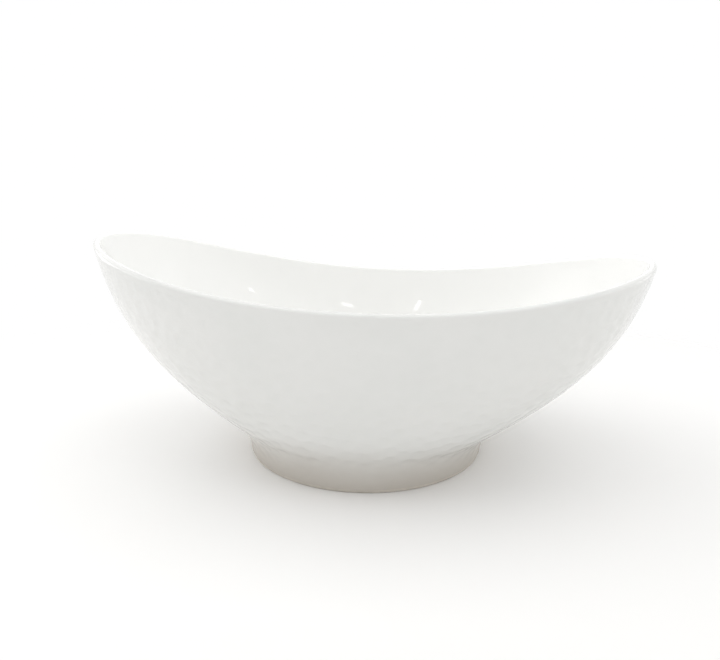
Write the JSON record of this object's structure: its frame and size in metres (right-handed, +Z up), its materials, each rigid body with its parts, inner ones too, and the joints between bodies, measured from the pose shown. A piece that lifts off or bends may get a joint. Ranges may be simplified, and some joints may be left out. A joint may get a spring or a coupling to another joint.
{
  "type": "serving bowl",
  "caption": "Oval white porcelain serving bowl: saddle-shaped rim rising to both ends, hammered outside, smooth glossy inside, low round foot ring.",
  "frame": {"origin": "on the table under the middle of the bowl, at the bottom centre of its bounding box", "axes": "+Z up, X along the bowl's length with the lower end at +X, Y across it"},
  "size_m": [0.3, 0.19, 0.1246],
  "materials": {
    "porcelain": "bare fired porcelain, fine and matt, seen only on the edge that stands on the table",
    "liner_glaze": "smooth clear glaze over white porcelain, high gloss",
    "outer_glaze": "clear glaze over white porcelain with shallow hammered facets, glossy"
  },
  "bodies": {
    "root": {"bowl_body": "porcelain", "foot_ring": "porcelain", "inner_glaze": "liner_glaze", "outer_glaze": "outer_glaze", "well_glaze": "outer_glaze"}
  },
  "joints": []
}
